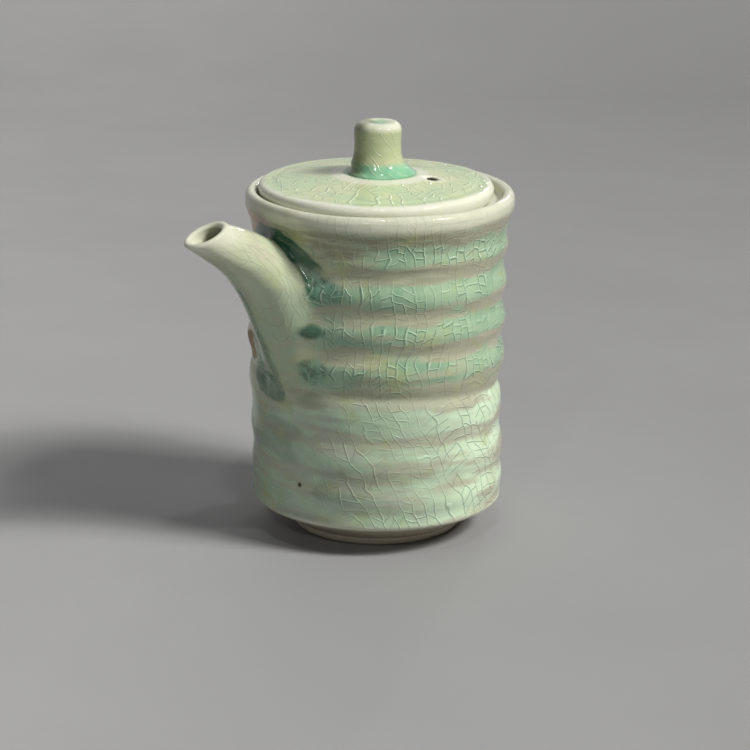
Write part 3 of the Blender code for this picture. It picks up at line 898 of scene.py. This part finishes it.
class Nodes:
    """Short ways to write one material's node tree."""

    def __init__(self, name):
        self.material = bpy.data.materials.new(name)
        self.material.use_nodes = True
        self.tree = self.material.node_tree
        self.shader = self.tree.nodes["Principled BSDF"]
        self.place = self.node("ShaderNodeTexCoord").outputs["Object"]

    def node(self, kind, **settings):
        made = self.tree.nodes.new(kind)
        for key, value in settings.items():
            setattr(made, key, value)
        return made

    def put(self, socket, value):
        if isinstance(value, Value):
            value = value.socket
        if isinstance(value, bpy.types.NodeSocket):
            self.tree.links.new(value, socket)
        else:
            socket.default_value = value

    def math(self, operation, *numbers):
        made = self.node("ShaderNodeMath", operation=operation)
        for socket, number in zip(made.inputs, numbers):
            self.put(socket, number)
        return Value(self, made.outputs[0])

    def most(self, a, b):
        return self.math("MAXIMUM", a, b)

    def step(self, value, low, high, to_low=0.0, to_high=1.0):
        made = self.node("ShaderNodeMapRange", interpolation_type="SMOOTHSTEP")
        names = ("Value", "From Min", "From Max", "To Min", "To Max")
        for name, number in zip(names, (value, low, high, to_low, to_high)):
            self.put(made.inputs[name], number)
        return Value(self, made.outputs[0])

    def moved(self, operation, vector):
        """The object's place after one vector operation with a fixed vector."""
        made = self.node("ShaderNodeVectorMath", operation=operation)
        self.put(made.inputs[0], self.place)
        made.inputs[1].default_value = vector
        return made.outputs

    def noise(self, size, detail, apart=None, squeeze=None):
        """Noise with lumps about size mm; squeezed in height, it runs round the pot in streaks."""
        made = self.node("ShaderNodeTexNoise")
        where = self.place
        if apart:
            where = self.moved("ADD", APART[apart])["Vector"]
        elif squeeze:
            where = self.moved("MULTIPLY", (1.0, 1.0, squeeze))["Vector"]
        self.put(made.inputs["Vector"], where)
        made.inputs["Scale"].default_value = 1 / (size * MM)
        made.inputs["Detail"].default_value = detail
        made.inputs["Roughness"].default_value = 0.55
        return Value(self, made.outputs["Fac"])

    def cells(self, size, feature):
        made = self.node("ShaderNodeTexVoronoi", feature=feature)
        self.put(made.inputs["Vector"], self.place)
        made.inputs["Scale"].default_value = 1 / (size * MM)
        return made.outputs

    def near_wall_point(self, degrees, height):
        """Distance in mm from a point of the pot's wall."""
        angle = math.radians(degrees)
        point = (POT_AXIS + WALL_RADIUS * math.cos(angle), WALL_RADIUS * math.sin(angle), height)
        return Value(self, self.moved("DISTANCE", [p * MM for p in point])["Value"]) * (1 / MM)

    def parts(self, vector):
        split = self.node("ShaderNodeSeparateXYZ")
        self.put(split.inputs[0], vector)
        return [Value(self, part) for part in split.outputs]

    def red_of(self, colour):
        split = self.node("ShaderNodeSeparateColor")
        self.put(split.inputs[0], colour)
        return Value(self, split.outputs[0])

    def random(self, a, b, seed):
        joined = self.node("ShaderNodeCombineXYZ")
        for socket, value in zip(joined.inputs, (a, b, seed)):
            self.put(socket, value)
        made = self.node("ShaderNodeTexWhiteNoise", noise_dimensions="3D")
        self.put(made.inputs["Vector"], joined.outputs[0])
        return Value(self, made.outputs["Value"])

    def mix(self, factor, a, b, blend="MIX"):
        made = self.node("ShaderNodeMix", data_type="RGBA", blend_type=blend)
        made.clamp_factor = True
        self.put(made.inputs[0], factor)
        for socket, value in zip((made.inputs[6], made.inputs[7]), (a, b)):
            self.put(socket, (*value, 1.0) if isinstance(value, tuple) else value)
        return made.outputs[2]

    def coats(self, colour, *coats):
        """A colour with (factor, colour) coats laid over it in turn."""
        for factor, coat in coats:
            colour = self.mix(factor, colour, coat)
        return colour

    def field(self, name):
        return Value(self, self.node("ShaderNodeAttribute", attribute_name=name).outputs["Fac"])

    def sheet(self):
        """Distances across and along the glaze's sheet, in mm."""
        u, v, _ = self.parts(self.node("ShaderNodeUVMap", uv_map="sheet").outputs[0])
        return u * SHEET_UNIT, v * SHEET_UNIT

    def off_whole(self, value):
        """How far a value is from the nearest whole number, with its sign."""
        return self.math("FRACT", value + 0.5) - 0.5


def crack_net(n, across, along, net):
    """Long cracks joined by short rungs: (mm to a crack, mm to its shadowed lip, tint of the cell); the
    shadowed lip is a painted shadow on one side of each crack, with some stain.
    """
    turns = float(net.lanes)
    lane = n.math("MODULO", n.math("FLOOR", across) + turns, turns)
    line = n.math("MODULO", n.math("ROUND", across) + turns, turns)
    from_line = n.off_whole(across) * net.width
    stretch = along * (LONG_CRACK_STRETCH / net.rung) + n.random(line, 4.0, net.seed) * 7.0
    stretch = n.math("FLOOR", stretch)
    line_gone = n.math("LESS_THAN", n.random(line, stretch, net.seed + 5.0), LONG_CRACK_GAPS) * FAR
    tilt = (n.math("FRACT", across) - 0.5) * ((n.random(lane, 2.0, net.seed) - 0.5) * 2.0)
    steps = along * (1 / net.rung) + n.random(lane, 1.0, net.seed) * 9.0 + tilt
    from_rung = n.off_whole(steps) * net.rung
    chance = n.random(lane, n.math("ROUND", steps), net.seed + 3.0)
    rung_gone = n.math("LESS_THAN", chance, 1.0 - net.kept) * FAR
    distances = []
    for shift in (0.0, CRACK_SHADOW_SHIFT):
        to_line = n.math("ABSOLUTE", from_line + shift) + line_gone
        to_rung = n.math("ABSOLUTE", from_rung + shift) + rung_gone
        distances.append(n.math("MINIMUM", to_line, to_rung))
    return (*distances, n.random(lane, n.math("FLOOR", steps), net.seed + 7.0))


def speckled(n, colour, height):
    """Pinholes over a colour and its relief."""
    cells = n.cells(9.0, "F1")
    some = n.step(n.red_of(cells["Color"]), 0.72, 0.74)
    spot = n.step(Value(n, cells["Distance"]), 0.035, 0.02) * some
    return n.mix(spot * 0.75, colour, PINHOLE), height - spot * 0.06


def finish_surface(n, colour, height, roughness, coat=0.15):
    """Join colour, relief in mm and roughness to the shader."""
    relief_node = n.node("ShaderNodeBump")
    relief_node.inputs["Distance"].default_value = MM
    relief_node.inputs["Strength"].default_value = 1.0
    n.put(relief_node.inputs["Height"], height)
    n.put(n.shader.inputs["Normal"], relief_node.outputs[0])
    n.put(n.shader.inputs["Base Color"], colour)
    n.put(n.shader.inputs["Roughness"], roughness)
    n.shader.inputs["IOR"].default_value = 1.52
    n.shader.inputs["Coat Weight"].default_value = coat
    n.shader.inputs["Coat Roughness"].default_value = 0.05
    return n.material


class WallGlaze(Nodes):
    """Celadon over rings: green and crackled where thick, beige where it thins."""

    def __init__(self, name, on_spout):
        super().__init__(name)
        self.on_spout = on_spout
        x, y, z = (part * (1 / MM) for part in self.parts(self.place))
        x = x - POT_AXIS
        self.z = z
        self.round_wall = self.math("ARCTAN2", y, x) * WALL_RADIUS
        self.low = self.step(z, *LOWER_WALL)
        rightward = y * LEAN_ACROSS + x
        # the lit side, which gets painted light in the glaze's colour
        self.lit_side = self.step(rightward, *SUNNY_SIDE)
        self.few = self.low * self.step(rightward, *FEW_CRACKS, 0.0, 0.6)
        self.wander = self.noise(15, 2.0) - 0.5
        self.quiver = self.noise(3.2, 1.0, "quiver") - 0.5
        self.bend = self.noise(11, 2.0, "bend") - 0.5
        self.mottle = self.noise(24, 3.0, "mottle")
        self.fleck = self.noise(5, 4.0, "fleck")
        self.cloud = self.step(self.mottle, 0.35, 0.65)
        self.streak = self.noise(13, 4.0, squeeze=7.0)
        self.gold = self.step(self.noise(10, 3.0, "gold"), 0.52, 0.72) * 0.45
        self.masks = {}
        for mask in ("green", "teal", "pool", "drip_and_shade", "bare", "cream", "peach", "spout", "swirl"):
            self.masks[mask] = self.field(mask)

    def cracks(self):
        """Distances in mm to a crack and to its painted shadow line on one side, and each cell's tint."""
        along = self.z + self.bend * 6.0
        across = self.round_wall * (1 / UPPER_NET.width) + (self.wander * 3.2 + self.quiver * 0.26)
        upper = crack_net(self, across, along, UPPER_NET)
        across = self.round_wall * (1 / LOWER_NET.width) + self.z * 0.12
        across = across + (self.wander * 2.8 + self.quiver * 0.2)
        lower = crack_net(self, across, self.round_wall * -0.35 + along, LOWER_NET)
        distance, lip, tint = (self.low * (b - a) + a for a, b in zip(upper, lower))
        if self.on_spout:
            u, v = self.sheet()
            across = u * (1 / SPOUT_NET.width) + (self.bend * 1.5 + self.quiver * 0.12)
            to_crack, to_shadow_line, _ = crack_net(self, across, v + self.wander * 5.0, SPOUT_NET)
            distance = self.masks["spout"] * (to_crack - distance) + distance
            lip = self.masks["spout"] * (to_shadow_line - lip) + lip
        return distance, lip, tint

    def wall_colour(self, thick, tint):
        """Mint on the bands and beige between them, milky and swirled low down; painted light makes both
        paler on the lit side.
        """
        low, lit_side, streak = self.low, self.lit_side, self.streak
        mint = self.mix(self.step(tint, 0.0, 1.0, 0.0, 0.5), MINT, DEEP_MINT)
        mint = self.coats(
            mint, (self.cloud * 0.45 + lit_side * 0.2, PALE_GREEN), (low * (lit_side * 0.6 + 0.35), LOW_GREEN))
        beige = self.coats(
            BEIGE,
            (self.step(streak, 0.46, 0.66, 0.0, 0.75), OLIVE_CREAM),
            (self.step(self.z, *NECK) * self.step(streak, 0.62, 0.42, 0.25, 0.8), NECK_OLIVE),
            (low * 0.55, LOW_BEIGE),
            (lit_side * 0.6, SUNLIT_BEIGE))
        milk = self.step(self.noise(12, 3.0, squeeze=2.5), 0.46, 0.62) * (1.0 - lit_side) * low
        swirl = self.masks["swirl"] * 0.6
        return self.coats(beige, (thick, mint), (swirl, SWIRL), (milk * 0.42, MILKY), (self.gold, YELLOW))

    def spout_colour(self):
        """Green at the root, cream toward the mouth."""
        upper = self.step(self.z + (self.mottle - 0.5) * 14.0, *SPOUT_TOP)
        sun = self.step(self.noise(9, 3.0, "sun"), 0.5, 0.68, 0.0, 0.5)
        return self.coats(
            SPOUT_GREEN, (upper, SPOUT_CREAM), (self.cloud * 0.4, PALE_GREEN), (sun, SUNLIT_BEIGE),
            (self.gold * 0.8, YELLOW))

    def patches(self, colour):
        """The blush, pooled and dripped glaze with painted shade in the spout's crease and under its root,
        and cream edges with a painted highlight on the spout's shoulder, laid over a colour.
        """
        masks, fleck = self.masks, self.fleck
        blotch = self.step(self.noise(3.5, 3.0, "blotch"), 0.38, 0.62)
        teal = masks["teal"] * self.step(blotch, 0.0, 1.0, 0.75, 1.0)
        return self.coats(
            colour,
            (masks["peach"] * 0.95, PEACH),
            (teal, self.mix(blotch, TEAL, DEEP_TEAL)),
            (masks["drip_and_shade"], self.mix(self.step(fleck, 0.35, 0.7, 0.0, 0.35), DRIP_AND_SHADE, SPOUT_GREEN)),
            (masks["cream"], self.mix(self.step(fleck, 0.3, 0.75, 0.0, 0.4), CREAM, OLIVE_CREAM)),
            (masks["cream"] * self.gold * 0.6, RIM_GOLD),
            (masks["pool"], self.mix(self.step(fleck, 0.42, 0.66, 0.0, 0.7), POOL_AND_CREASE_SHADE, POOL_LIGHT)))

    def crack_strength(self, thick, glassy):
        """How strongly the cracks show: most in thick glaze, least where it is patchy."""
        amount = self.most(thick * 0.7 + 0.3, self.low * 0.85)
        if self.on_spout:
            amount = self.masks["spout"] * (0.46 - amount) + amount
        faint = self.step(self.noise(11, 2.0, "faint"), 0.32, 0.5, 0.5, 1.0)
        worn = self.step(self.noise(26, 1.0, "worn"), 0.36, 0.5, 0.4, 1.0)
        return amount * glassy * faint * worn * (1.0 - self.few)

    def clay_colour(self):
        """The stoneware's colour where the glaze has missed it."""
        clay = self.mix(0.6, self.mix(self.noise(1.2, 5.0), BARE, CLAY), BARE)
        heel = self.mix(self.noise(2.5, 4.0), CLAY, HEEL_CLAY)
        return self.mix(self.step(self.z, *CLAY_HEEL), clay, heel)

    def finish(self):
        masks = self.masks
        bare = masks["bare"]
        flow = (self.streak - 0.5) * 0.8 * (self.low * -0.6 + 1.0)
        thick = self.step(masks["green"] + ((self.fleck - 0.5) * 0.30 + flow), 0.12, 0.85)
        distance, lip, tint = self.cracks()
        colour = self.wall_colour(thick, tint)
        if self.on_spout:
            colour = self.mix(masks["spout"], colour, self.spout_colour())
        colour = self.patches(colour)

        glassy = 1.0 - self.most(masks["pool"], self.most(bare, masks["cream"] * 0.6))
        amount = self.crack_strength(thick, glassy)
        ridge = self.step(distance, 0.33, 0.04) * amount
        small = Value(self, self.cells(3.0, "DISTANCE_TO_EDGE")["Distance"]) * 3.0
        small_ridge = self.step(small, 0.20, 0.02) * glassy * self.cloud * 0.6
        pale = self.mix(thick, RIDGE_BEIGE, RIDGE_GREEN)
        depth = self.most(self.low, masks["spout"]) * -0.42 + 0.8
        # a dark line offset to one side of each crack: painted shadow of its raised edge, with some stain
        crack_shadow_and_stain = self.step(lip, CRACK_SHADOW_SHIFT, 0.06) * amount * depth
        colour = self.mix(crack_shadow_and_stain, colour, CRACK_SHADOW_AND_STAIN, "MULTIPLY")
        colour = self.coats(colour, (ridge * 0.6, pale), (small_ridge * 0.4, pale))
        for degrees, height, radius in SPECKS:
            speck = self.step(self.near_wall_point(degrees, height), radius, 0.5 * radius, 0.0, 0.95)
            colour = self.mix(speck, colour, IRON)
        colour = self.mix(bare, colour, self.clay_colour())

        height = ridge * 0.17 + self.noise(2.4, 2.0) * 0.035 + self.noise(0.5, 3.0) * bare * 0.12
        height = height + small_ridge * 0.02 + masks["drip_and_shade"] * 0.25 + self.streak * 0.10
        colour, height = speckled(self, colour, height)
        rough = self.step(self.noise(7, 3.0, "gloss"), 0.3, 0.7, 0.13, 0.26) + bare * 0.5 + ridge * 0.25
        return finish_surface(self, colour, height, rough)


def lid_glaze(name, knob=False):
    """The lid's yellower celadon, crackled in rays; the knob's is plainer and more olive, with painted shade
    on its left side.
    """
    n = Nodes(name)
    net = KNOB_NET if knob else LID_NET
    green, deeper, glow = (KNOB_GREEN, KNOB_DEEP, KNOB_YELLOW) if knob else (LID_GREEN, LID_DEEP, LID_YELLOW)
    cream, teal, bare = (n.field(mask) for mask in ("cream", "teal", "bare"))
    u, v = n.sheet()
    sway = (n.noise(11, 2.0) - 0.5) * 2.6 + (n.noise(2.6, 1.0, "quiver") - 0.5) * 0.18
    across = u * (1 / net.width) + sway
    if knob:
        across = v * -0.26 + across
    along = v + (n.noise(9, 2.0, "bend") - 0.5) * 6.0
    distance, lip, tint = crack_net(n, across, along, net)

    fleck = n.noise(5, 4.0, "fleck")
    cloud = n.step(n.noise(16, 3.0, "mottle"), 0.35, 0.65)
    colour = n.coats(
        green,
        (n.step(tint, 0.0, 1.0, 0.0, 0.4), deeper),
        (cloud * 0.6, glow),
        (n.step(fleck, 0.45, 0.75, 0.0, 0.4), glow),
        (cream, n.mix(n.step(fleck, 0.3, 0.75, 0.0, 0.3), LID_CREAM, glow)),
        (teal, n.mix(n.step(fleck, 0.3, 0.7), LID_POOL, LID_MINT)))
    amount = (1.0 - n.most(cream * 0.9, bare)) * n.step(n.noise(8, 2.0, "faint"), 0.30, 0.5, 0.6, 1.0)
    if knob:
        amount = amount * 0.5
    ridge = n.step(distance, 0.30 if knob else 0.42, 0.04) * amount
    # a dark line offset to one side of each crack: painted shadow of its raised edge, with some stain
    colour = n.mix(n.step(lip, 0.40, 0.08) * amount * 0.4, colour, LID_CRACK_SHADOW_AND_STAIN, "MULTIPLY")
    # painted shade: on the knob its left side, on the lid the inside of the vent
    shaded = (n.field("knob_painted_shade"), KNOB_PAINTED_SHADE) if knob else (n.field("hole"), VENT_SHADE)
    clay = n.mix(n.noise(2.0, 4.0), CLAY, LID_CLAY)
    colour = n.coats(colour, (ridge * 0.6, LID_RIDGE), shaded, (bare, clay))

    colour, height = speckled(n, colour, ridge * 0.15 + n.noise(2.4, 2.0) * 0.03)
    rough = n.step(n.noise(7, 3.0, "gloss"), 0.3, 0.7, 0.12, 0.24) + bare * 0.5
    return finish_surface(n, colour, height, rough)


def bare_clay(name):
    """Unglazed stoneware, with painted light that makes it paler from 2 mm above the table upward, against
    the shade under the pot's overhang.
    """
    n = Nodes(name)
    mottle = n.noise(4.0, 4.0)
    grain = n.noise(0.5, 3.0, "grain")
    up = n.parts(n.place)[2]
    colour = n.coats(
        FOOT_CLAY,
        (n.step(mottle, 0.3, 0.7), FOOT_PALE),
        # painted light, paler with height above the table
        (n.step(up, 2.0 * MM, 5.5 * MM, 0.0, 0.8), FOOT_PAINTED_LIGHT),
        (n.step(grain, 0.6, 0.75, 0.0, 0.6), CLAY_GRAIN))
    height = grain * 0.10 + mottle * 0.08
    return finish_surface(n, colour, height, n.step(mottle, 0.3, 0.7, 0.68, 0.85), coat=0.0)


def studio_paper():
    """Grey paper with painted light: brighter to the camera's left, and darker on the floor with painted
    shade.
    """
    n = Nodes("studio_paper")
    shade = n.noise(120, 4.0)
    x, y, z = n.parts(n.place)
    rightward = x * ASIDE.x + y * ASIDE.y
    # painted light across the backdrop, brighter on the camera's left
    colour = n.mix(n.step(rightward, -0.40, 0.35), PAPER_BRIGHT, PAPER_DIM)
    colour = n.mix(n.step(shade, 0.3, 0.7, 0.0, 0.15), colour, PAPER_CLOUD)
    colour = n.mix(n.step(z, 0.35, 0.0), colour, FLOOR_SHADE, "MULTIPLY")
    height = n.noise(1.2, 3.0) * 0.02
    return finish_surface(n, colour, height, n.step(shade, 0.3, 0.7, 0.55, 0.65), coat=0.0)


# ---- the studio, in metres

FLOOR_NEAR = -1.6
SWEEP_START = 0.75
SWEEP_RADIUS = 0.35
WALL_TOP = 1.8
HALF_WIDTH = 2.2

WARM = (1.0, 0.985, 0.95)
COOL = (0.95, 0.98, 1.0)
PLAIN = (1.0, 1.0, 1.0)
KEY_SIDE = (0.90, 0.38, 0.96)
# (name, direction as (right, toward the camera, up), distance, size, watts, colour)
LIGHTS = (
    ("key", KEY_SIDE, 2.4, 0.72, 56.5, WARM),
    ("key_glint", KEY_SIDE, 1.3, 0.08, 2.6, WARM),
    ("fill", (-0.6, 0.9, 0.07), 1.6, 1.1, 1.65, COOL),
    ("top", (0.3, -0.3, 1.0), 1.5, 0.9, 0.6, PLAIN),
    ("glint", (-0.22, 0.9, 0.62), 1.2, 0.05, 0.9, PLAIN),
    ("glint_above", (0.05, 0.35, 1.0), 1.2, 0.05, 1.0, PLAIN),
    ("glint_behind", (0.30, -1.0, 0.42), 1.2, 0.05, 0.5, PLAIN),
)
LIT_POINT = Vector((POT_AXIS * MM, 0, 0.07))
AIR_COLOUR = (0.86, 0.9, 1.0, 1.0)
AIR_STRENGTH = 0.052

CAMERA_BACK = 0.85  # from the pot's axis, level
CAMERA_HEIGHT = 0.3055
CAMERA_PITCH = math.radians(16.78)
CAMERA_YAW = math.radians(0.0633)
CAMERA_ROLL = math.radians(0.6)
SENSOR_WIDTH = 36.0  # mm
FOCAL_LENGTH = 130.296  # mm


def make_backdrop():
    """A pale floor that sweeps up into a wall behind."""
    line = [(FLOOR_NEAR, 0.0), (SWEEP_START, 0.0)]
    for angle in np.radians(np.linspace(6, 90, 15)):
        rise = SWEEP_RADIUS * (1 - math.cos(angle))
        line.append((SWEEP_START + SWEEP_RADIUS * math.sin(angle), rise))
    line.append((SWEEP_START + SWEEP_RADIUS, WALL_TOP))
    sides = (-HALF_WIDTH, HALF_WIDTH)
    points = [AHEAD * far + ASIDE * wide + UP * high for far, high in line for wide in sides]
    faces = [(2 * i, 2 * i + 1, 2 * i + 3, 2 * i + 2) for i in range(len(line) - 1)]
    mesh = bpy.data.meshes.new("studio_backdrop")
    mesh.from_pydata(points, [], faces)
    mesh.shade_smooth()
    mesh.materials.append(studio_paper())
    add_object("studio_backdrop", mesh)


def add_light(name, direction, distance, size, power, colour):
    """A square soft light that faces the pot."""
    right, near, high = direction
    out = (ASIDE * right - AHEAD * near + UP * high).normalized()
    lamp = bpy.data.lights.new(name, "AREA")
    lamp.shape = "SQUARE"
    lamp.size = size
    lamp.energy = power
    lamp.color = colour
    obj = add_object(name, lamp)
    obj.location = LIT_POINT + out * distance
    obj.rotation_euler = out.to_track_quat("Z", "Y").to_euler()
    obj.visible_glossy = name != "key"       # the key's reflection comes from key_glint


def make_studio():
    make_backdrop()
    for light in LIGHTS:
        add_light(*light)
    world = bpy.data.worlds.new("studio_air")
    world.use_nodes = True
    air = world.node_tree.nodes["Background"]
    air.inputs["Color"].default_value = AIR_COLOUR
    air.inputs["Strength"].default_value = AIR_STRENGTH
    bpy.context.scene.world = world
    bpy.context.scene.view_settings.view_transform = "Standard"


def make_camera():
    level_look = AHEAD * math.cos(CAMERA_PITCH) - UP * math.sin(CAMERA_PITCH)
    top = ASIDE.cross(level_look)
    look = level_look * math.cos(CAMERA_YAW) - ASIDE * math.sin(CAMERA_YAW)
    side = ASIDE * math.cos(CAMERA_YAW) + level_look * math.sin(CAMERA_YAW)
    right = side * math.cos(CAMERA_ROLL) + top * math.sin(CAMERA_ROLL)
    top = top * math.cos(CAMERA_ROLL) - side * math.sin(CAMERA_ROLL)
    data = bpy.data.cameras.new("camera")
    data.sensor_width = SENSOR_WIDTH
    data.lens = FOCAL_LENGTH
    camera = add_object("camera", data)
    location = Vector((POT_AXIS * MM, 0, CAMERA_HEIGHT)) - CAMERA_BACK * AHEAD
    camera.matrix_world = Matrix.Translation(location) @ Matrix((right, top, -look)).transposed().to_4x4()
    bpy.context.scene.camera = camera


# ---- the build

def build():
    dress(make_pot(), "pot", "pot_body", WallGlaze("pot_celadon", False).finish())
    dress(make_spout(), "pot", "spout", WallGlaze("spout_celadon", True).finish())
    dress(make_ring("foot_ring", FOOT_LINE), "pot", "foot_ring", bare_clay("foot_stoneware"))
    dress(make_lid_disc(), "lid", "lid_disc", lid_glaze("lid_celadon"))
    dress(make_knob(), "lid", "lid_knob", lid_glaze("knob_celadon", knob=True))
    flange = make_ring("lid_flange", FLANGE_LINE)
    dress(flange, "lid", "lid_flange", bare_clay("flange_stoneware"))
    make_studio()
    make_camera()


build()
